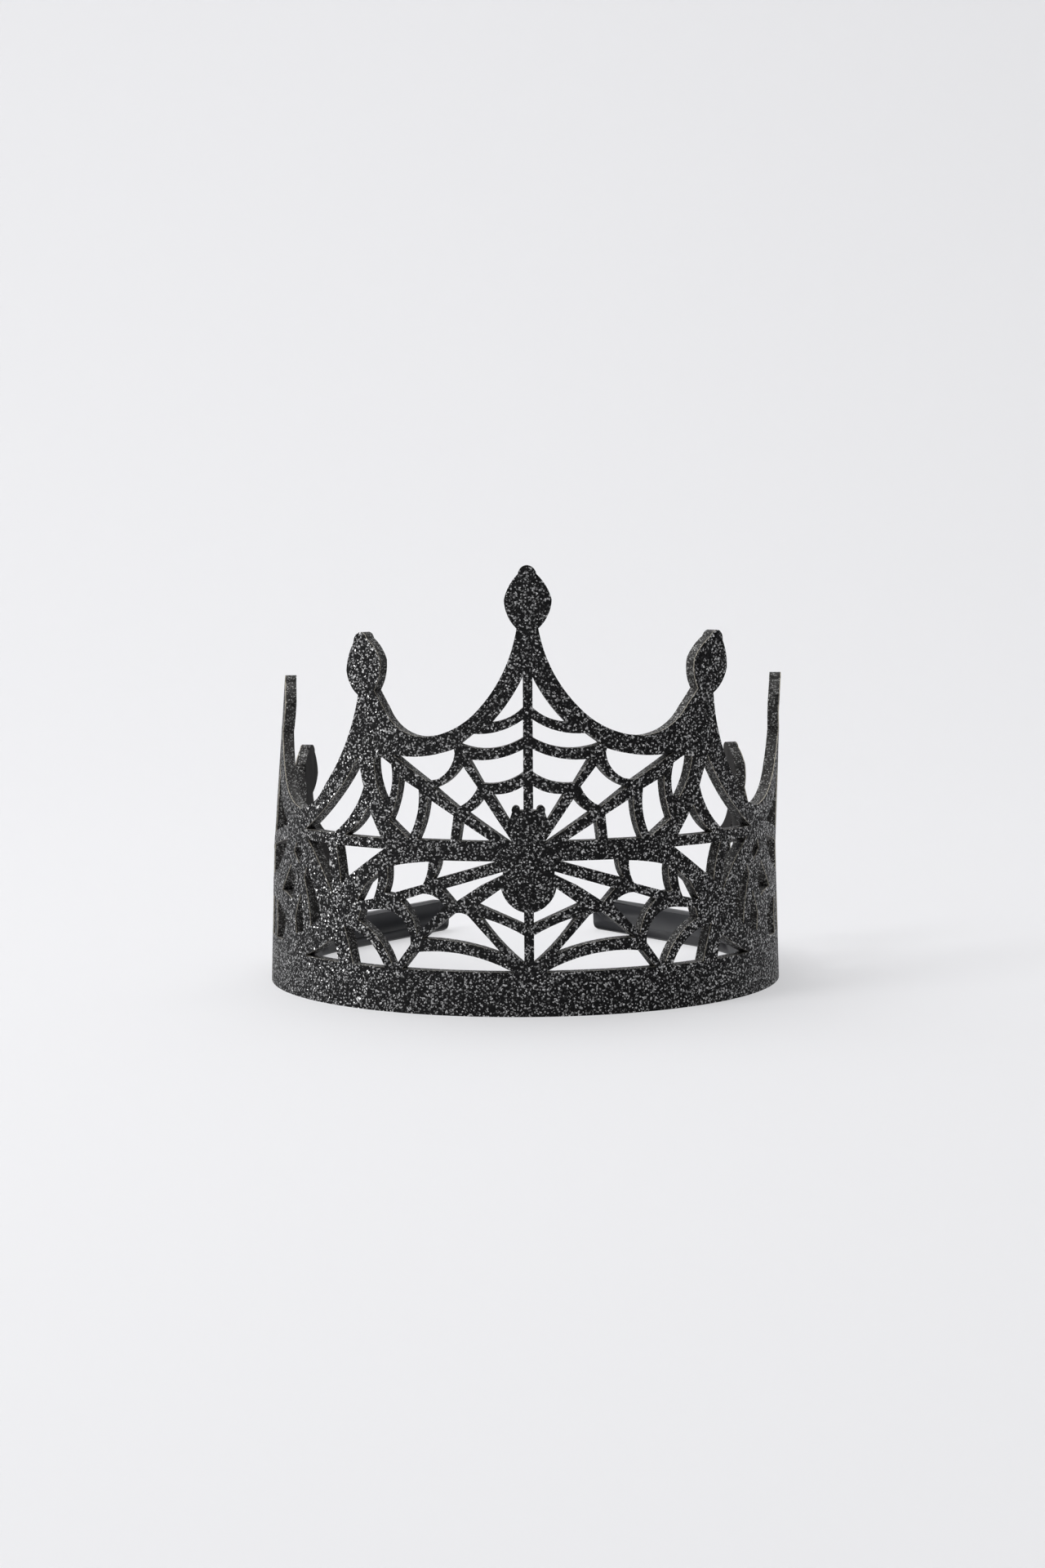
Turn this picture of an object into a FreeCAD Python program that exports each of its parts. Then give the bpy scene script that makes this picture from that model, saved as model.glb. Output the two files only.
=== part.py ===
import FreeCAD, Part
import math
import os

os.makedirs("parts", exist_ok=True)
V = FreeCAD.Vector

# Sizes in millimetres. The pattern is written flat, as it is cut: the first number is the
# length along the sheet from the middle of the front, the second is the height.
FRONT_RADIUS = 77.5
LEAN = math.radians(1.7)
SHEET_THICK = 3.4
SHEET_HALF_LENGTH = 175.0
BAND_TOP = 12.6
CROWN_HEIGHT = 126.7

# Legs of the open ring, behind the half circle: radius and turn of each bend, then a straight
SIDE_RADIUS = 125.0
SIDE_TURN = math.radians(19.0)
HEEL_RADIUS = 60.0
HEEL_TURN = math.radians(17.0)
HEADBAND_STRAIGHT = 55.0

# Headband: a springy strip in a fabric cover, face to face with the inside of the sheet
HEADBAND_THICK = 3.6
HEADBAND_HEIGHT = 10.7
HEADBAND_BEVEL = 0.6
TIP_ROUND_TOP = 5.5
TIP_ROUND_FOOT = 2.5
COVER_THICK = 0.5

# The cover's cloth laps over itself along the inside of the band, down to this height
LAP_THICK = 0.35
LAP_LOW = 3.4
LAP_SHORT = 6.0

# Teardrop tips: half widths and heights from the neck, for the largest one
TIP_HEIGHT = 17.6
TIP_HALF_WIDTH = 7.0
TIP_NECK_HALF = 3.2
TIP_WIDEST_AT = 8.0
NECKS = {
    "front": (0.0, 109.1, 0.0, 1.0),
    "next": (54.3, 90.4, 14.0, 1.0),
    "side": (112.5, 75.3, 12.0, 1.0),
    "back": (160.0, 53.2, 12.0, 0.85),
}

# Half width of the thread the spider hangs by
THREAD = 1.4


# Windows of the web, one half. (a, b) is a corner, (a, b, c, d) an arc through a, b to c, d.
FRONT_WINDOWS = [
    # above the spider, beside its thread
    [(THREAD, 87.0), (THREAD, 95.6), (5.7, 88.7, 10.8, 82.9), (5.4, 84.3, THREAD, 87.0)],
    [(THREAD, 83.7), (7.9, 80.6, 16.5, 79.7), (20.6, 76.8), (11.1, 75.6, THREAD, 78.6)],
    [(THREAD, 75.4), (8.4, 72.9, 17.6, 72.5), (13.3, 65.8), (7.4, 66.2, THREAD, 68.9)],
    [(THREAD, 65.1), (5.3, 63.3, 10.3, 62.8), (5.5, 55.5), (4.7, 57.8), (3.6, 59.5, 2.5, 58.2),
     (THREAD, 58.2)],
    # between the two upper spokes
    [(19.7, 70.9), (23.0, 67.1, 28.3, 64.2), (20.9, 59.0), (17.2, 61.3, 14.9, 64.7)],
    [(13.1, 61.6), (15.0, 59.2, 17.7, 57.4), (4.2, 48.7)],
    [(19.5, 54.9), (20.3, 49.5), (10.7, 49.5)],
    # under the first swag
    [(22.4, 75.4), (32.1, 73.1, 43.0, 73.3), (30.8, 66.1), (27.8, 66.6),
     (24.0, 69.4, 22.1, 74.2)],
    [(33.4, 63.6), (40.1, 66.9), (41.1, 59.8, 43.0, 54.7), (36.2, 49.8),
     (33.7, 56.1, 33.4, 63.6)],
    [(22.1, 56.6), (30.4, 61.4), (31.3, 55.1, 33.4, 49.6), (22.9, 49.6)],
    # under the bar
    [(8.6, 43.9), (26.1, 43.9), (26.7, 41.0, 28.0, 38.5)],
    [(7.4, 41.0), (25.2, 35.7), (21.6, 32.0), (14.4, 36.7), (7.4, 40.0)],
    [(29.5, 43.4), (36.6, 42.6, 42.8, 41.3), (42.8, 37.4, 43.8, 33.9), (41.9, 33.7),
     (31.1, 36.9), (29.8, 40.1, 29.5, 43.4)],
    [(45.9, 39.6), (46.3, 35.6, 47.6, 32.0), (54.0, 30.6), (50.6, 35.9)],
    [(24.5, 31.1), (27.5, 33.6, 31.2, 34.3), (38.4, 32.0), (34.8, 28.0, 32.9, 22.6)],
    [(34.9, 19.7), (37.4, 26.4, 44.7, 29.2), (52.4, 28.3), (53.4, 25.4),
     (45.8, 20.7, 41.1, 13.8), (38.8, 14.6)],
    [(43.5, BAND_TOP), (48.5, 19.3, 58.9, 23.2), (56.8, 17.8, 55.1, BAND_TOP)],
    # beside and below the spider
    [(7.9, 36.2), (14.5, 31.6), (8.0, 29.0, THREAD, 26.2), (THREAD, 29.5),
     (5.3, 31.6, 7.9, 36.2)],
    [(THREAD, 23.0), (7.1, 25.9, 13.7, 28.1), (8.3, 21.6, THREAD, 15.3)],
    [(7.7, 17.9), (17.4, 28.4), (19.6, 29.2, 21.8, 28.9), (31.0, 21.6), (19.0, 20.8, 7.7, 17.9)],
    [(4.5, BAND_TOP), (37.7, BAND_TOP), (33.5, 17.5), (18.5, 17.5, 4.5, BAND_TOP)],
]
SIDE_WINDOWS = [
    # under the second peak
    [(43.2, 70.4), (46.8, 72.4), (49.8, 71.8), (48.4, 65.4, 45.7, 60.5), (43.3, 61.3),
     (42.6, 65.9, 43.2, 70.4)],
    [(45.5, 49.4), (51.0, 58.1), (54.3, 53.3, 59.8, 49.4)],
    [(56.0, 71.9), (65.2, 60.2, 79.6, 49.6), (64.7, 49.6), (56.6, 56.6, 53.1, 63.4)],
    # under the thin bar
    [(44.4, 46.4), (63.2, 46.4), (61.4, 40.8, 60.4, 35.6)],
    [(67.3, 46.6), (77.5, 46.6), (70.5, 40.2, 64.3, 32.0), (64.9, 39.5, 67.3, 46.6)],
    [(77.7, 38.5), (72.2, 31.5, 70.0, 24.8), (74.8, 21.5), (76.4, 29.0, 79.1, 35.5)],
    [(80.6, 42.0), (82.3, 39.2), (86.4, 42.4), (85.0, 45.2)],
    [(88.2, 38.4), (84.3, 33.5), (87.2, 28.2), (91.5, 29.5, 96.2, 29.9)],
    [(81.0, 30.4), (79.3, 25.0, 79.0, 19.6), (83.6, 18.4), (84.6, 23.0), (83.0, 27.0)],
    [(63.5, 19.5), (70.0, 15.8, 78.0, BAND_TOP), (60.9, BAND_TOP), (62.2, 16.4)],
    # under the side peak
    [(91.8, 49.9), (102.5, 57.0, 110.2, 69.5), (109.6, 58.0, 110.6, 45.8)],
    [(92.5, 45.4), (110.6, 42.0), (110.8, 33.0), (101.5, 35.8), (94.8, 41.0)],
    [(92.0, 21.6), (97.0, 24.8, 103.2, 26.2), (102.2, 20.5, 102.4, 15.0), (94.5, 15.2)],
    [(106.7, 26.6), (110.8, 26.4), (110.8, 15.0), (105.9, 15.0), (105.7, 20.5, 106.7, 26.6)],
]
BACK_WINDOWS = [
    [(114.0, 68.5), (118.7, 52.0, 131.1, 39.2), (114.0, 44.8)],
    [(114.0, 41.4), (132.5, 35.2), (131.1, 29.9), (114.0, 31.5)],
    [(114.0, 26.4), (130.7, 26.6), (124.9, 15.0), (114.0, 15.0)],
    [(135.1, 25.6), (137.4, 25.6), (137.4, 15.0), (128.5, 15.0)],
    [(140.5, 25.6), (142.7, 25.6), (149.3, 15.0), (140.5, 15.0)],
    [(147.1, 32.2), (152.9, 36.0, 157.3, 44.0), (158.8, 32.2)],
    [(162.0, 44.0), (165.5, 38.0, 170.8, 34.4), (170.8, 32.2), (162.0, 32.2)],
    [(146.9, 28.8), (158.8, 28.8), (158.8, 15.0), (152.9, 15.0)],
    [(162.0, 28.8), (170.8, 28.8), (170.8, 15.0), (162.0, 15.0)],
]

# Upper outline between the tips: arcs from neck to neck, split at the low point of each swag
SWAG_FRONT = [(8.1, 95.4, 14.9, 86.5), (23.0, 80.8, 32.7, 78.5)]
SWAG_FRONT_UP = [(40.9, 80.6, 47.0, 86.2)]
SWAG_SIDE = [(61.6, 75.5, 70.0, 63.2), (76.2, 57.4, 84.0, 55.4)]
SWAG_SIDE_UP = [(93.0, 58.4, 101.0, 65.8)]
SWAG_BACK = [(121.8, 52.5, 128.0, 44.3), (133.5, 38.6, 139.6, 37.0)]
SWAG_BACK_UP = [(148.5, 40.2, 153.8, 46.6)]
# Slope from the last tip down to the sheet's end: through this point, to this height
END_SLOPE = (167.5, 43.0)
END_HEIGHT = 37.5

# How far cutting shapes reach past what they cut
PAST = 4.0
PAST_WALL = 40.0
CUT_MARGIN = 1.2


def outward(turn):
    """Outward direction of the wall where its plan has turned by this angle."""
    return V(math.sin(turn), -math.cos(turn), 0)


def along(turn):
    """Direction along the wall, away from the middle of the front."""
    return V(math.cos(turn), math.sin(turn), 0)


def stretches():
    """Plan of the outer face at the base: start length, point, turn, radius and length."""
    out = []
    start, point, turn = 0.0, V(0, -FRONT_RADIUS, 0), 0.0
    bends = [(FRONT_RADIUS, math.pi / 2), (SIDE_RADIUS, SIDE_TURN), (HEEL_RADIUS, HEEL_TURN)]
    for radius, bend in bends:
        out.append((start, point, turn, radius, radius * bend))
        centre = point - outward(turn) * radius
        turn += bend
        point = centre + outward(turn) * radius
        start += radius * bend
    out.append((start, point, turn, None, HEADBAND_STRAIGHT))
    return out


PLAN = stretches()


def plan_at(length):
    """Point of the outer face at the base, and the turn of the wall, at this length."""
    start, point, turn, radius, span = [p for p in PLAN if p[0] <= length + 1e-9][-1]
    if radius is None:
        return point + along(turn) * (length - start), turn
    now = turn + (length - start) / radius
    return point - outward(turn) * radius + outward(now) * radius, now


def bevelled_loop(corners, bevel):
    """Closed wire through the corners, each one cut off when a bevel is given."""
    points = []
    count = len(corners)
    for i, corner in enumerate(corners):
        if bevel > 0:
            back = (corners[i - 1] - corner).normalize()
            on = (corners[(i + 1) % count] - corner).normalize()
            points += [corner + back * bevel, corner + on * bevel]
        else:
            points.append(corner)
    return Part.makePolygon(points + points[:1])


def wall_section(point, turn, inset, thick, low, high, bevel):
    """Upright section of a leaning wall, set in from the outer face."""
    n = outward(turn)

    def at(depth, z):
        return point - n * (depth + z * math.tan(LEAN)) + V(0, 0, z)

    far = inset + thick
    corners = [at(inset, low), at(inset, high), at(far, high), at(far, low)]
    return Part.Face(bevelled_loop(corners, bevel))


def leaning_wall(end, inset, thick, low, high, bevel=0.0):
    """Half of a wall that follows the plan from the middle of the front to an end length."""
    pieces = []
    for start, point, turn, radius, span in PLAN:
        span = min(span, end - start)
        if span <= 1e-6:
            continue
        face = wall_section(point, turn, inset, thick, low, high, bevel)
        if radius is None:
            pieces.append(face.extrude(along(turn) * span))
        else:
            centre = point - outward(turn) * radius
            pieces.append(face.revolve(centre, V(0, 0, 1), math.degrees(span / radius)))
    wall = pieces[0]
    for piece in pieces[1:]:
        wall = wall.fuse(piece)
    return wall


def pattern_ends(outline):
    """Every point an outline passes through, corners and arc middles."""
    points = []
    for item in outline:
        points.append(item[:2])
        if len(item) == 4:
            points.append(item[2:])
    return points


def outline_edges(outline, place):
    """Edges of a flat outline, closed, with each point put in space by place."""
    edges = []
    here = outline[0][:2]
    first = here
    for item in outline[1:]:
        goal = item[-2:]
        if len(item) == 4:
            edges.append(Part.Arc(place(*here), place(*item[:2]), place(*goal)).toShape())
        else:
            edges.append(Part.LineSegment(place(*here), place(*goal)).toShape())
        here = goal
    if math.hypot(here[0] - first[0], here[1] - first[1]) > 1e-6:
        edges.append(Part.LineSegment(place(*here), place(*first)).toShape())
    return edges


def at_height(outline):
    """The flat outline with its heights stretched to the crown's height."""
    stretch = CROWN_HEIGHT / (NECKS["front"][1] + TIP_HEIGHT)
    return [tuple(v * stretch if i % 2 else v for i, v in enumerate(item)) for item in outline]


def die_cutter(flat_outline):
    """Solid that cuts a flat outline square through the curved sheet."""
    outline = at_height(flat_outline)
    points = pattern_ends(outline)
    lengths = [p[0] for p in points]
    origin, turn = plan_at((min(lengths) + max(lengths)) / 2)
    n = outward(turn)
    inner = []
    for length, z in points:
        p, t = plan_at(length)
        back = p - outward(t) * (SHEET_THICK + z * math.tan(LEAN))
        inner.append((back - origin).dot(n))
    loops = []
    for level in (CUT_MARGIN, min(inner) - CUT_MARGIN):

        def place(length, z, level=level):
            p, t = plan_at(length)
            reach = (level - (p - origin).dot(n)) / outward(t).dot(n)
            return p + outward(t) * reach + V(0, 0, z)

        loops.append(outline_edges(outline, place))
    faces = [Part.makeRuledSurface(a, b) for a, b in zip(*loops)]
    faces += [Part.Face(Part.Wire(edges)) for edges in loops]
    shell = Part.makeShell(faces)
    shell.sewShape()
    cutter = Part.makeSolid(shell)
    if cutter.Volume < 0:
        cutter.reverse()
    return cutter


def neck_point(name, across, up):
    """A point of a tip's own outline, in the flat pattern."""
    length, height, tilt, scale = NECKS[name]
    c, s = math.cos(math.radians(tilt)), math.sin(math.radians(tilt))
    across, up = across * scale, up * scale
    return (length + c * across + s * up, height - s * across + c * up)


def tip_side(name, side):
    """Outline of one side of a tip, from its point down to its neck."""
    def at(across, up):
        return neck_point(name, side * across, up)

    wide, tall = TIP_HALF_WIDTH, TIP_HEIGHT
    rows = [at(0, tall)]
    rows.append(at(1.75, tall - 0.65) + at(2.7, tall - 2.4))
    rows.append(at(wide - 1.2, TIP_WIDEST_AT + 3.2) + at(wide, TIP_WIDEST_AT))
    rows.append(at(wide - 1.1, 3.6) + at(TIP_NECK_HALF, 0))
    return rows


def backwards(rows):
    """The same outline from its last point to its first."""
    flat = []
    goal = rows[-1][-2:]
    flat.append(goal)
    for i in range(len(rows) - 1, 0, -1):
        before = rows[i - 1][-2:]
        if len(rows[i]) == 4:
            flat.append(rows[i][:2] + before)
        else:
            flat.append(before)
    return flat


def above(rows, ceiling):
    """Close an outline over the top of the blank."""
    start, end = rows[0][:2], rows[-1][-2:]
    return rows + [(end[0], ceiling), (start[0], ceiling)]


def top_cutters():
    """What is cut away above the swags, in pieces that meet on shared upright lines."""
    ceiling = NECKS["front"][1] + TIP_HEIGHT + PAST
    cuts = []
    names = ["front", "next", "side", "back"]
    downs = [SWAG_FRONT, SWAG_SIDE, SWAG_BACK]
    rises = [SWAG_FRONT_UP, SWAG_SIDE_UP, SWAG_BACK_UP]
    for i in range(3):
        low = downs[i][-1][-2:]
        left = tip_side(names[i], 1) + downs[i]
        right = [low] + rises[i]
        neck = tip_side(names[i + 1], -1)[-1][-2:]
        right = right + [neck] + backwards(tip_side(names[i + 1], -1))[1:]
        cuts.append(above(left, ceiling))
        cuts.append(above(right, ceiling))
    end = (SHEET_HALF_LENGTH + PAST / 2, END_HEIGHT)
    cuts.append(above(tip_side("back", 1) + [END_SLOPE + end], ceiling))
    return [die_cutter(c) for c in cuts]


def crown_sheet():
    """The die-cut sheet: band, web, spider and tips in one piece."""
    half = leaning_wall(SHEET_HALF_LENGTH, 0, SHEET_THICK, 0, CROWN_HEIGHT + PAST / 4)
    cutters = top_cutters()
    cutters += [die_cutter(w) for w in FRONT_WINDOWS + SIDE_WINDOWS + BACK_WINDOWS]
    half = half.cut(tuple(cutters))
    return both_sides(half)


def both_sides(half):
    """Join a half to its mirror image across the middle of the front."""
    whole = half.fuse(half.mirror(V(0, 0, 0), V(1, 0, 0)))
    return whole.removeSplitter().Solids[0]


def rounded_end(reach, high, low, top_round, foot_round):
    """Solid that rounds the end of a leg: what lies outside its end outline."""
    start, point, turn, radius, span = PLAN[-1]
    u, n = along(turn), outward(turn)

    def at(length, z):
        return point + u * length + V(0, 0, z) + n * PAST

    c = math.cos(math.pi / 4)
    top_mid = at(reach - top_round * (1 - c), high - top_round * (1 - c))
    foot_mid = at(reach - foot_round * (1 - c), low + foot_round * (1 - c))
    top_a, top_b = at(reach - top_round, high), at(reach, high - top_round)
    foot_a, foot_b = at(reach, low + foot_round), at(reach - foot_round, low)
    far_top, far_foot = at(reach + PAST, high + PAST), at(reach + PAST, low - PAST)
    edges = [
        Part.LineSegment(at(reach - top_round, high + PAST), top_a).toShape(),
        Part.Arc(top_a, top_mid, top_b).toShape(),
        Part.LineSegment(top_b, foot_a).toShape(),
        Part.Arc(foot_a, foot_mid, foot_b).toShape(),
        Part.LineSegment(foot_b, at(reach - foot_round, low - PAST)).toShape(),
        Part.LineSegment(at(reach - foot_round, low - PAST), far_foot).toShape(),
        Part.LineSegment(far_foot, far_top).toShape(),
        Part.LineSegment(far_top, at(reach - top_round, high + PAST)).toShape(),
    ]
    return Part.Face(Part.Wire(edges)).extrude(n * -PAST_WALL)


def band_body(shrink):
    """The headband's outer body, or the strip inside it when shrunk by the cover."""
    end = PLAN[-1][0] + HEADBAND_STRAIGHT
    half = leaning_wall(
        end,
        SHEET_THICK + shrink,
        HEADBAND_THICK - 2 * shrink,
        shrink,
        HEADBAND_HEIGHT - shrink,
        0.0 if shrink else HEADBAND_BEVEL,
    )
    half = half.cut(
        rounded_end(
            HEADBAND_STRAIGHT - shrink,
            HEADBAND_HEIGHT - shrink,
            shrink,
            TIP_ROUND_TOP - shrink,
            TIP_ROUND_FOOT - shrink,
        )
    )
    return both_sides(half)


def cover_lap():
    """The lapped edge of the cover's cloth, along the inside of the band."""
    end = PLAN[-1][0] + HEADBAND_STRAIGHT - LAP_SHORT
    high = HEADBAND_HEIGHT - HEADBAND_BEVEL
    inset = SHEET_THICK + HEADBAND_THICK
    return both_sides(leaning_wall(end, inset, LAP_THICK, LAP_LOW, high))


def headband_cover(body, core):
    """The fabric sleeve: the band's body, hollow where the strip lies, with its lapped edge."""
    return body.fuse(cover_lap()).cut(core).Solids[0]


def build():
    """Every piece in one frame, origin under the middle of the whole part's box."""
    core = band_body(COVER_THICK)
    pieces = {
        "crown_sheet": crown_sheet(),
        "headband_cover": headband_cover(band_body(0.0), core),
        "headband_core": core,
    }
    box = Part.makeCompound(list(pieces.values())).optimalBoundingBox(False, False)
    shift = V(-(box.XMin + box.XMax) / 2, -(box.YMin + box.YMax) / 2, -box.ZMin)
    for name, shape in pieces.items():
        shape.translate(shift)
        shape.exportStep("parts/" + name + ".step")
        b = shape.optimalBoundingBox(False, False)
        print(name, shape.ShapeType, "valid", shape.isValid(), "solids", len(shape.Solids))
        print("  volume", round(shape.Volume), "faces", len(shape.Faces))
        print("  box", [round(v, 2) for v in (b.XMin, b.YMin, b.ZMin, b.XMax, b.YMax, b.ZMax)])
    print("shift", shift)


build()
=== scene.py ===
# %% [markdown]
# Spider web crown: looks
#
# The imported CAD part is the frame. This script dresses it: the foam sheet gets its glitter, the
# headband gets its ribbon, and a plain stage, two lamps and a camera show them. The pieces could
# be modelled again from nothing, but the web has to stay exactly as the part cuts it. So both
# shown pieces start as copies of the part's own meshes. All sizes are in metres.

# %% Load the frame
import math

import bmesh
import bpy
from mathutils import Matrix, Vector

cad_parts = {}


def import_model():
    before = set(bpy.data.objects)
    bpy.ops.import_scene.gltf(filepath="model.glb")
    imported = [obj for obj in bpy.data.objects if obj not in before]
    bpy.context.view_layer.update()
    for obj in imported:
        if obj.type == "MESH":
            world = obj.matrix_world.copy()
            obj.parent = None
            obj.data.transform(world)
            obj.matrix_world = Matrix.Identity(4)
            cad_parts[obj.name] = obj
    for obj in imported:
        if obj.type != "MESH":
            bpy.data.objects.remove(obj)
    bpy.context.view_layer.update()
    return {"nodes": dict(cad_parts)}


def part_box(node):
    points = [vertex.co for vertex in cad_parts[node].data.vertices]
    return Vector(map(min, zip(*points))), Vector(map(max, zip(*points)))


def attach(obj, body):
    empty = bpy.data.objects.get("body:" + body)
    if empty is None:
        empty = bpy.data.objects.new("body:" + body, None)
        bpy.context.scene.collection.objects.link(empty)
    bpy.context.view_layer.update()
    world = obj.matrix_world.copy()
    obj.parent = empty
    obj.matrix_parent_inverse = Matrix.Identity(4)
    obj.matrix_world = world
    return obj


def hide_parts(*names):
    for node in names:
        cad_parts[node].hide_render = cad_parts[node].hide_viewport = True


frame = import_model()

MM = 0.001
print("frame nodes", sorted(frame["nodes"]))

# %% [markdown]
# Where the wall runs
#
# The real sheet is bent round a headband. Its front is half a circle, its sides are slacker, and
# its heels turn in more tightly. These bends could be read off the mesh, vertex by vertex, but a
# few sizes say as much. The front radius is half the width of the sheet in the frame, and its
# centre lies that far behind the foremost point. The other bends follow on from there.

# %% Where the wall runs
SHEET_LOW, SHEET_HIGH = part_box("crown_sheet")
FRONT_RADIUS = SHEET_HIGH.x
ARC_Y = SHEET_LOW.y + FRONT_RADIUS
SIDE_RADIUS = 125 * MM
SIDE_TURN = math.radians(19)
HEEL_RADIUS = 60 * MM
FRONT_CENTRE = Vector((0, ARC_Y))
SIDE_CENTRE = Vector((FRONT_RADIUS - SIDE_RADIUS, ARC_Y))
HEEL_WAY = Vector((math.cos(SIDE_TURN), math.sin(SIDE_TURN)))
HEEL_CENTRE = SIDE_CENTRE + HEEL_WAY * (SIDE_RADIUS - HEEL_RADIUS)


def bend_at(p):
    """Centre and radius of the bend a point belongs to, on the side of +X."""
    if p.y < ARC_Y:
        return FRONT_CENTRE, FRONT_RADIUS
    way = Vector((abs(p.x), p.y)) - SIDE_CENTRE
    if math.atan2(way.y, way.x) < SIDE_TURN:
        return SIDE_CENTRE, SIDE_RADIUS
    return HEEL_CENTRE, HEEL_RADIUS


print("front radius", round(FRONT_RADIUS / MM, 2), "mm, arc centre y", round(ARC_Y / MM, 2), "mm")

# %% [markdown]
# Face, edge or back
#
# A die-cut sheet has three looks: the printed face, the cut edges and the back. Someone could
# pick their faces by hand in the editor. Here each point is measured from the centre of its own
# bend, which says how deep in the sheet it lies and which way is outwards, and the wall's lean
# is taken off by its height.

# %% Face, edge or back
WALL_LEAN = math.tan(math.radians(1.7))
SHEET_THICK = 3.4 * MM


def wall_depth(p):
    """How far a point lies inside the outer face of the wall."""
    centre, radius = bend_at(p)
    return radius - (Vector((abs(p.x), p.y)) - centre).length - p.z * WALL_LEAN


def wall_outward(p):
    """Level direction from the inside of the wall to its outside."""
    centre, radius = bend_at(p)
    way = Vector((abs(p.x), p.y)) - centre
    return Vector((math.copysign(way.x, p.x), way.y, 0)).normalized()


FRONT_FOOT = Vector((0, SHEET_LOW.y, 0))
print("depth of the foremost point", round(wall_depth(FRONT_FOOT) / MM, 3), "mm")

# %% [markdown]
# How the tips lean
#
# The foam is soft, and the tips of the photographed crown lean a few millimetres to one side.
# A lattice or a Simple Deform modifier could lean them. A slope that starts above the band is
# plainer: it grows with height, is eased in from the middle of the front, and turns the other
# way towards the back. The lower web keeps its place on the headband.

# %% How the tips lean
WORN_FROM = 40 * MM
# sideways for each millimetre up, on the left (-1) and on the right (1)
WORN_SLOPE = {-1: 0.047, 1: 0.06}
WORN_FULL_AT = 50 * MM
WORN_BACK_AT = 35 * MM
WORN_TURN = 1.7


def eased(part):
    """0 to 1 with a soft start and end."""
    part = min(1.0, max(0.0, part))
    return part * part * (3 - 2 * part)


def as_worn(p):
    """A point of the sheet after the lean seen in the photograph."""
    high = max(0.0, p.z - WORN_FROM)
    slope = WORN_SLOPE[-1 if p.x < 0 else 1] * eased(abs(p.x) / WORN_FULL_AT)
    turned = 1 - WORN_TURN * eased((p.y - ARC_Y) / WORN_BACK_AT)
    return p + Vector((high * slope * turned, 0, 0))


SIDE_TOP = Vector((FRONT_RADIUS, ARC_Y, SHEET_HIGH.z))
print("lean at the side, at full height", round((as_worn(SIDE_TOP) - SIDE_TOP).x / MM, 2), "mm")

# %% [markdown]
# Shader arithmetic
#
# Materials here are node trees. Nodes could be placed and linked one by one, but a long list of
# links hides what is worked out. So one small class stands for a socket's value, and plain
# arithmetic on it adds the Math nodes. Every other node comes from one function, which sets the
# node's settings first and then its sockets.


# %% Shader arithmetic
class Value:
    """One output of a node, on which sums can be written."""

    def __init__(self, tree, socket):
        self.tree = tree
        self.socket = socket

    def math(self, kind, other):
        inputs = {0: self, 1: other}
        return new_node(self.tree, "ShaderNodeMath", 0, inputs, operation=kind)

    def __add__(self, other):
        return self.math("ADD", other)

    def __sub__(self, other):
        return self.math("SUBTRACT", other)

    def __mul__(self, other):
        return self.math("MULTIPLY", other)

    def __rsub__(self, other):
        return (self * -1.0) + other

    __radd__ = __add__
    __rmul__ = __mul__

    def ramp(self, low, high):
        """0 below low, 1 above high, with a soft start and end."""
        inputs = {"Value": self, "From Min": low, "From Max": high}
        kind = "ShaderNodeMapRange"
        return new_node(self.tree, kind, "Result", inputs, interpolation_type="SMOOTHSTEP")


def put(tree, item, socket):
    """Link a value to a socket, or set the socket to a constant."""
    if isinstance(item, Value):
        tree.links.new(item.socket, socket)
    else:
        socket.default_value = item


def new_node(tree, kind, out=0, inputs=None, **settings):
    """A new node: its settings, then its inputs by name or place, and one of its outputs."""
    node = tree.nodes.new(kind)
    for key, item in settings.items():
        setattr(node, key, item)
    for key, item in (inputs or {}).items():
        put(tree, item, node.inputs[key])
    return Value(tree, node.outputs[out])


# %% [markdown]
# A finish
#
# Every finish of the crown is a Principled shader with a few things that change over the
# surface. A class keeps the material, its tree and its shader together. What is the same all
# over is set on the shader's own sockets, and only what changes is linked. Positions are the
# Object coordinates, so that a pattern keeps its real size and stays on the piece.


# %% A finish
class Finish:
    """A material being written."""

    def __init__(self, name, colour, **settings):
        self.material = bpy.data.materials.new(name)
        self.material.use_nodes = True
        self.tree = self.material.node_tree
        self.shader = self.tree.nodes["Principled BSDF"]
        self.shader.inputs["Base Color"].default_value = (*colour, 1)
        self.drive(**settings)

    def node(self, kind, out=0, inputs=None, **settings):
        return new_node(self.tree, kind, out, inputs, **settings)

    def place(self):
        return self.node("ShaderNodeTexCoord", "Object")

    def attribute(self, name):
        return self.node("ShaderNodeAttribute", "Fac", attribute_name=name)

    def noise(self, scale, detail):
        inputs = {"Vector": self.place(), "Scale": scale, "Detail": detail}
        return self.node("ShaderNodeTexNoise", "Fac", inputs)

    def mix(self, amount, a, b):
        """Colour a where the amount is 0, colour b where it is 1."""
        colours = [item if isinstance(item, Value) else (*item, 1) for item in (a, b)]
        inputs = {0: amount, 6: colours[0], 7: colours[1]}
        return self.node("ShaderNodeMix", 2, inputs, data_type="RGBA")

    def bump(self, height, strength, distance):
        inputs = {"Height": height, "Strength": strength, "Distance": distance}
        return self.node("ShaderNodeBump", 0, inputs)

    def drive(self, **values):
        """Set or link the shader's sockets, named with _ for a space."""
        for key, item in values.items():
            put(self.tree, item, self.shader.inputs[key.replace("_", " ")])
        print(self.material.name, "sets", sorted(values))
        return self.material


# %% [markdown]
# Flakes of glitter
#
# Glitter is a film of small metal flakes. Each one lies at its own angle, so that from any side
# a few of them flash and the rest stay dark. Real flakes could be scattered as thousands of
# little plates, but at 0.4 mm they would be far too many. A Voronoi texture cuts the space into
# cells of a flake's size, and the random colour of a cell gives both its brightness and the way
# its normal is leant.

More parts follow.
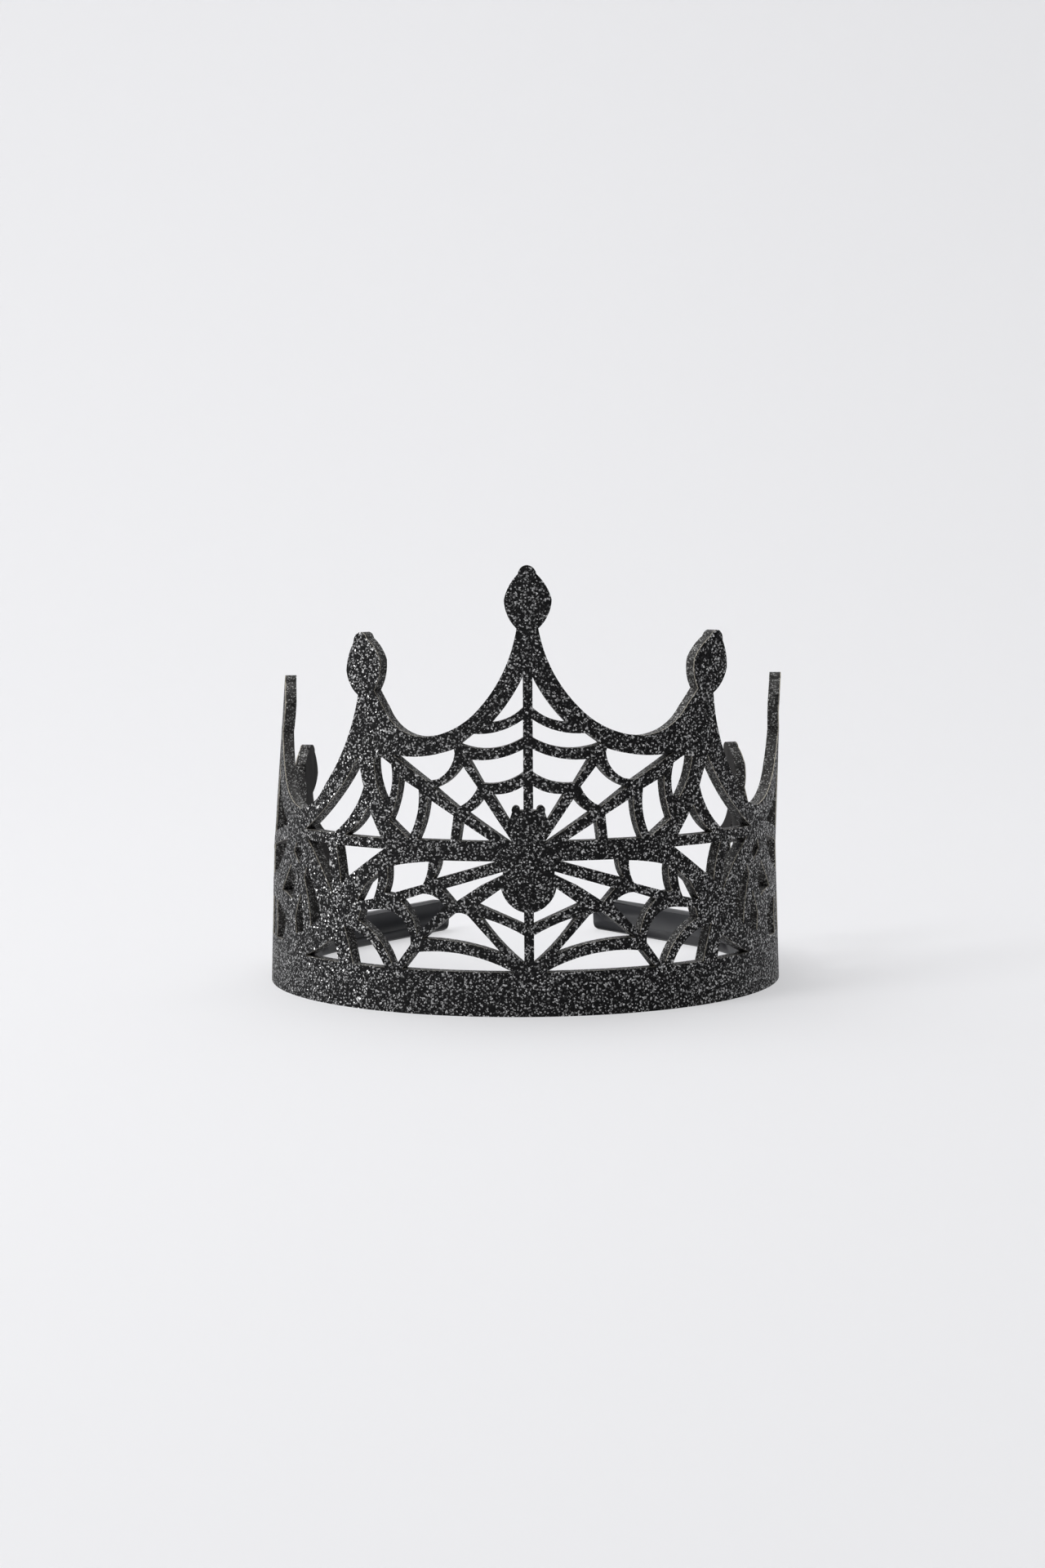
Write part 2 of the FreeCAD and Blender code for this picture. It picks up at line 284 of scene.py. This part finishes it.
# %% Flakes of glitter
FLAKE = 0.40 * MM
MIDDLE_GREY = (0.5, 0.5, 0.5)


def flakes(f, size):
    """The random colour of every flake."""
    inputs = {"Vector": f.place(), "Scale": 1 / size}
    return f.node("ShaderNodeTexVoronoi", "Color", inputs)


def shine_of(f, flake, low, high):
    """How bright each flake is, from the first number of its colour."""
    return f.node("ShaderNodeSeparateXYZ", 0, {0: flake}).ramp(low, high)


def tilted(f, flake, amount):
    """Normal of the surface, leant a different way in every flake."""
    lean = f.node("ShaderNodeVectorMath", 0, {0: flake, 1: MIDDLE_GREY}, operation="SUBTRACT")
    lean = f.node("ShaderNodeVectorMath", 0, {0: lean, "Scale": amount}, operation="SCALE")
    plain = f.node("ShaderNodeNewGeometry", "Normal")
    both = f.node("ShaderNodeVectorMath", 0, {0: plain, 1: lean}, operation="ADD")
    return f.node("ShaderNodeVectorMath", 0, {0: both}, operation="NORMALIZE")


print("flakes to a centimetre", round(10 * MM / FLAKE))

# %% [markdown]
# The glitter face
#
# The face is black, with a bright flake here and there. One dark glossy colour would look like
# wet plastic. So most cells stay nearly black, and the brightest third of them turn to rough
# metal, which reflects the lamps only where its tilt suits.

# %% The glitter face
GLITTER = (0.02, 0.02, 0.022)
GLITTER_DARK = (0.006, 0.006, 0.0065)
GLITTER_BRIGHT = (0.57, 0.57, 0.57)
SHINES_FROM, SHINES_FULLY = 0.70, 0.99
DARK_ROUGH, BRIGHT_ROUGH = 0.55, 0.33
FLAKE_TILT = 0.95


def glitter_face():
    f = Finish("glitter_face", GLITTER, Specular_IOR_Level=0.12)
    flake = flakes(f, FLAKE)
    shine = shine_of(f, flake, SHINES_FROM, SHINES_FULLY)
    colour = f.mix(shine, GLITTER_DARK, GLITTER_BRIGHT)
    rough = DARK_ROUGH - shine * (DARK_ROUGH - BRIGHT_ROUGH)
    normal = tilted(f, flake, FLAKE_TILT)
    return f.drive(Base_Color=colour, Metallic=shine, Roughness=rough, Normal=normal)


GLITTER_FACE = glitter_face()

# %% [markdown]
# The cut edges
#
# The die leaves the foam's side bare: dark, with some glitter dragged over it, and a thin pale
# line where the film on the face ends. The line could be modelled as a strip of its own, but it
# is only a quarter of a millimetre wide. It is painted instead, from an attribute that holds how
# deep in the sheet each point lies, and a little noise makes it as ragged as the cut.

# %% The cut edges
EDGE = (0.05, 0.048, 0.046)
EDGE_DARK = (0.020, 0.019, 0.018)
EDGE_BRIGHT = (0.45, 0.45, 0.44)
EDGE_FLAKE = FLAKE / 1.2
EDGE_SHINES_FROM = 0.72
EDGE_TILT = 0.7
EDGE_METAL = 0.8

# shares of the sheet's thickness
FOAM_LINE = 0.075
FOAM_LINE_SOLID = 0.6 * FOAM_LINE
RAGGED = 0.12
RAGGED_GRAIN = 700.0
PALE_FOAM = (0.50, 0.46, 0.38)


def cut_edge():
    f = Finish("cut_edge", EDGE, Roughness=0.6, Specular_IOR_Level=0.3)
    flake = flakes(f, EDGE_FLAKE)
    shine = shine_of(f, flake, EDGE_SHINES_FROM, SHINES_FULLY)
    colour = f.mix(shine, EDGE_DARK, EDGE_BRIGHT)
    ragged = f.noise(RAGGED_GRAIN, 3.0) - 0.5
    depth = f.attribute("cut_depth") + ragged * RAGGED
    line = 1.0 - depth.ramp(FOAM_LINE_SOLID, FOAM_LINE)
    colour = f.mix(line, colour, PALE_FOAM)
    normal = tilted(f, flake, EDGE_TILT)
    return f.drive(Base_Color=colour, Metallic=shine * EDGE_METAL, Normal=normal)


CUT_EDGE = cut_edge()

# %% [markdown]
# The foam's back
#
# The back is bare foam: black, matt and very finely grained. An image of foam could be wrapped
# on it, but noise needs no unwrapping and has no seams. The same noise shades the colour and
# lifts the surface a little.

# %% The foam's back
FOAM = (0.03, 0.029, 0.029)
FOAM_DARK = (0.016, 0.0155, 0.015)
FOAM_LIGHT = (0.036, 0.034, 0.033)
FOAM_GRAIN = 1600.0
FOAM_RELIEF = 0.1 * MM


def foam_back():
    f = Finish("foam_back", FOAM, Roughness=0.85, Specular_IOR_Level=0.25)
    grain = f.noise(FOAM_GRAIN, 3.0)
    colour = f.mix(grain, FOAM_DARK, FOAM_LIGHT)
    return f.drive(Base_Color=colour, Normal=f.bump(grain, 0.25, FOAM_RELIEF))


FOAM_BACK = foam_back()

# %% [markdown]
# The ribbon
#
# The headband is wrapped in black satin ribbon. Its weave could be drawn thread by thread, but
# from where a crown is looked at it is only a soft sheen with a fine grain. So the shader's own
# sheen is set, and a finer noise than the foam's gives the grain.

# %% The ribbon
SATIN = (0.02, 0.022, 0.03)
SATIN_DARK = (0.006, 0.0065, 0.009)
SATIN_LIGHT = (0.015, 0.016, 0.021)
SATIN_GRAIN = 2500.0
SATIN_RELIEF = 0.05 * MM


def ribbon():
    f = Finish("ribbon", SATIN, Roughness=0.5, Sheen_Weight=0.08)
    grain = f.noise(SATIN_GRAIN, 2.0)
    colour = f.mix(grain, SATIN_DARK, SATIN_LIGHT)
    return f.drive(Base_Color=colour, Normal=f.bump(grain, 0.2, SATIN_RELIEF))


RIBBON = ribbon()

# %% [markdown]
# Copies of the part's meshes
#
# A CAD mesh comes as loose triangles and isn't edited. A copy of it can be: its doubled points
# are merged, so that shading and modifiers see one skin. Only faces that meet at a small angle
# are then shaded smooth, which rounds the bends and keeps the cuts crisp. An Edge Split modifier
# would do the same, but would cut the skin apart again.

# %% Copies of the part's meshes
MERGE_WITHIN = 0.002 * MM


def copy_of(node, name):
    """A merged copy of a CAD node's mesh, as a new object."""
    made = bpy.data.objects.new(name, frame["nodes"][node].data.copy())
    bpy.context.scene.collection.objects.link(made)
    made.data.materials.clear()
    b = bmesh.new()
    b.from_mesh(made.data)
    bmesh.ops.remove_doubles(b, verts=b.verts, dist=MERGE_WITHIN)
    b.to_mesh(made.data)
    b.free()
    print(name, "has", len(made.data.vertices), "points and", len(made.data.polygons), "faces")
    return made


def smooth_below(mesh, degrees):
    """Smooth shading with sharp edges where faces turn by more than this."""
    for polygon in mesh.polygons:
        polygon.use_smooth = True
    mesh.set_sharp_from_angle(angle=math.radians(degrees))


# %% [markdown]
# The crown's sheet
#
# The web, the spider, the band and the seven tips are one die-cut sheet of foam. It could be
# drawn flat, given a thickness and bent with modifiers, but the part has done that exactly. So
# its copy is dressed: each point keeps its depth for the pale line, each face takes the glitter,
# the edge or the back by the way it looks, and last of all the tips are leant.

# %% The crown's sheet
SHEET_FINISHES = (GLITTER_FACE, CUT_EDGE, FOAM_BACK)
FACING = 0.9
SHEET_CREASE = 30


def side_of_sheet(polygon):
    """Place in the finishes: 0 for the glitter face, 1 for a cut edge, 2 for the back."""
    turn = polygon.normal.dot(wall_outward(polygon.center))
    if turn > FACING:
        return 0
    return 2 if turn < -FACING else 1


def crown_sheet():
    made = copy_of("crown_sheet", "web_crown")
    mesh = made.data
    depth = mesh.attributes.new("cut_depth", "FLOAT", "POINT")
    for v in mesh.vertices:
        depth.data[v.index].value = wall_depth(v.co) / SHEET_THICK
    for finish in SHEET_FINISHES:
        mesh.materials.append(finish)
    counts = [0] * len(SHEET_FINISHES)
    for polygon in mesh.polygons:
        polygon.material_index = side_of_sheet(polygon)
        counts[polygon.material_index] += 1
    for v in mesh.vertices:
        v.co = as_worn(v.co)
    smooth_below(mesh, SHEET_CREASE)
    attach(made, "root")
    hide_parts("crown_sheet")
    print("web_crown: face, edge and back triangles", counts)
    return made


WEB_CROWN = crown_sheet()

# %% [markdown]
# The headband's ribbon
#
# The ribbon is pulled tight round a strip, so its edges are soft but hardly rounder than the
# strip's. The solid has flat bevels there. Its edges could be rounded in CAD, but so small a
# rounding is only for the eye, so a Bevel modifier softens the copy by a quarter of a
# millimetre and leaves the solid light.

# %% The headband's ribbon
RIBBON_CREASE = 50
RIBBON_SOFT = 0.25 * MM
RIBBON_SOFT_ABOVE = math.radians(30)


def headband():
    made = copy_of("headband_cover", "ribbon_band")
    made.data.materials.append(RIBBON)
    smooth_below(made.data, RIBBON_CREASE)
    soft = made.modifiers.new("soft", "BEVEL")
    soft.width, soft.segments, soft.limit_method = RIBBON_SOFT, 2, "ANGLE"
    soft.angle_limit = RIBBON_SOFT_ABOVE
    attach(made, "root")
    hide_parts("headband_cover")
    return made


RIBBON_BAND = headband()

# %% [markdown]
# The paper
#
# The crown stands on white paper whose shadow is faint and wide. More light would wash the black
# glitter out. So the paper has two looks: it lights the crown as plain paper does, while the
# camera and reflections see half of it as an even pale glow. The Light Path node tells one kind
# of ray from the other.

# %% The paper
PAPER = (0.84, 0.84, 0.86)
PAPER_SEEN = (0.89, 0.89, 0.905)
SEEN_SHARE = 0.5
SEEING_RAYS = ("Is Camera Ray", "Is Glossy Ray", "Is Transmission Ray")


def pale_paper():
    f = Finish("paper", PAPER, Roughness=0.9)
    rays = [f.node("ShaderNodeLightPath", name) for name in SEEING_RAYS]
    seen = rays[0].math("MAXIMUM", rays[1]).math("MAXIMUM", rays[2])
    lit = Value(f.tree, f.shader.outputs[0])
    glow = f.node("ShaderNodeEmission", 0, {"Color": (*PAPER_SEEN, 1)})
    both = f.node("ShaderNodeMixShader", 0, {0: seen * SEEN_SHARE, 1: lit, 2: glow})
    put(f.tree, both, f.tree.nodes["Material Output"].inputs["Surface"])
    return f.material


# %% [markdown]
# The room
#
# A photographer's sweep is paper that curves up from the floor into a wall, so that no line
# shows behind the object. One wall would do for the photograph's view, but the crown is looked
# at from all sides. So the sweep is a box without a lid: its upright and lower edges are
# bevelled into wide curves, and its faces are turned inwards. One wall is near, behind the
# crown, and the others are far off.

# %% The room
ROOM_HALF = 6.0
ROOM_NEAR = -6.0
ROOM_HIGH = 2.5
WALL_Y = 1.2
WALL_BEND = 0.8
WALL_STEPS = 16


def paper_room():
    b = bmesh.new()
    bmesh.ops.create_cube(b, size=1.0)
    deep = WALL_Y - ROOM_NEAR
    bmesh.ops.scale(b, vec=(2 * ROOM_HALF, deep, ROOM_HIGH), verts=b.verts)
    bmesh.ops.translate(b, vec=(0, ROOM_NEAR + deep / 2, ROOM_HIGH / 2), verts=b.verts)
    lid = [face for face in b.faces if face.calc_center_median().z > ROOM_HIGH - WALL_BEND]
    bmesh.ops.delete(b, geom=lid, context="FACES")
    inner = [edge for edge in b.edges if not edge.is_boundary]
    bmesh.ops.bevel(
        b,
        geom=inner,
        offset=WALL_BEND,
        segments=WALL_STEPS,
        profile=0.5,
        affect="EDGES",
        material=-1,
    )
    bmesh.ops.reverse_faces(b, faces=b.faces)
    mesh = bpy.data.meshes.new("paper_room")
    b.to_mesh(mesh)
    b.free()
    made = bpy.data.objects.new("paper_room", mesh)
    bpy.context.scene.collection.objects.link(made)
    mesh.materials.append(pale_paper())
    for polygon in mesh.polygons:
        polygon.use_smooth = True
    heights = [round(v.co.z, 3) for v in mesh.vertices]
    print("paper room", len(mesh.polygons), "faces, from", min(heights), "to", max(heights), "m")
    return made


PAPER_ROOM = paper_room()

# %% [markdown]
# The light
#
# In the photograph the light comes from the left, a little in front, and the paper behind is lit
# evenly. Sun lamps would give hard flashes on every flake. A small square lamp near the crown
# gives it its bright side, a large one high behind gives the wide light of a studio ceiling, and
# the world fills in the rest with a little cool white.


# %% The light
def softbox(name, place, aim, side, power):
    """A square lamp of the given side that faces its aim."""
    light = bpy.data.lights.new(name, "AREA")
    light.shape = "SQUARE"
    light.size = side
    light.energy = power
    made = bpy.data.objects.new(name, light)
    made.location = place
    made.rotation_mode = "QUATERNION"
    made.rotation_quaternion = (Vector(aim) - Vector(place)).to_track_quat("-Z", "Y")
    bpy.context.scene.collection.objects.link(made)
    print(name, "lamp,", round((Vector(aim) - Vector(place)).length, 2), "m from its aim")
    return made


def world(colour, level):
    """An even light from all round."""
    made = bpy.data.worlds.new("studio")
    made.use_nodes = True
    back = made.node_tree.nodes["Background"]
    back.inputs["Color"].default_value = (*colour, 1)
    back.inputs["Strength"].default_value = level
    bpy.context.scene.world = made
    return made


world(colour=(0.97, 0.98, 1.0), level=0.17)
softbox("key", place=(-0.85, -0.60, 0.75), aim=(0, 0, 0.05), side=0.4, power=6.0)
softbox("top", place=(-0.40, 1.0, 1.8), aim=(-0.15, 0.8, 0), side=2.6, power=49.0)

# %% [markdown]
# The camera
#
# The camera was fitted to the photograph, by the base, the sides and the tips of the crown. Its
# place could be typed in as coordinates and a rotation, but then nobody could see what they
# mean. So it is built up as a photographer would: so far off, so high, tipped down, rolled a
# little, and walked round the crown by a small twist.

# %% The camera
CAMERA_DISTANCE = 12 * FRONT_RADIUS
CAMERA_HEIGHT_ANGLE = math.radians(9.004)
CAMERA_DOWN = math.radians(5.412)
CAMERA_ROLL = math.radians(-0.342)
CAMERA_ASIDE = -0.56 * MM
CROWN_TWIST = math.radians(0.78)
CAMERA_SEES = (0.05, 20)
LENS = 69.48
SENSOR = 36


def camera():
    data = bpy.data.cameras.new("camera")
    data.lens = LENS
    data.sensor_width = SENSOR
    data.clip_start, data.clip_end = CAMERA_SEES
    made = bpy.data.objects.new("camera", data)
    bpy.context.scene.collection.objects.link(made)
    flat = CAMERA_DISTANCE * math.cos(CAMERA_HEIGHT_ANGLE)
    high = CAMERA_DISTANCE * math.sin(CAMERA_HEIGHT_ANGLE)
    there = Matrix.Translation((CAMERA_ASIDE, -flat, high))
    tilt = Matrix.Rotation(math.pi / 2 - CAMERA_DOWN, 4, "X")
    roll = Matrix.Rotation(CAMERA_ROLL, 4, "Z")
    turn = Matrix.Rotation(-CROWN_TWIST, 4, "Z")
    made.matrix_world = Matrix.Translation((0, ARC_Y, 0)) @ turn @ there @ tilt @ roll
    bpy.context.scene.camera = made
    print("camera at", [round(part, 3) for part in made.matrix_world.translation])
    return made


CAMERA = camera()
bpy.context.scene.view_settings.view_transform = "Standard"
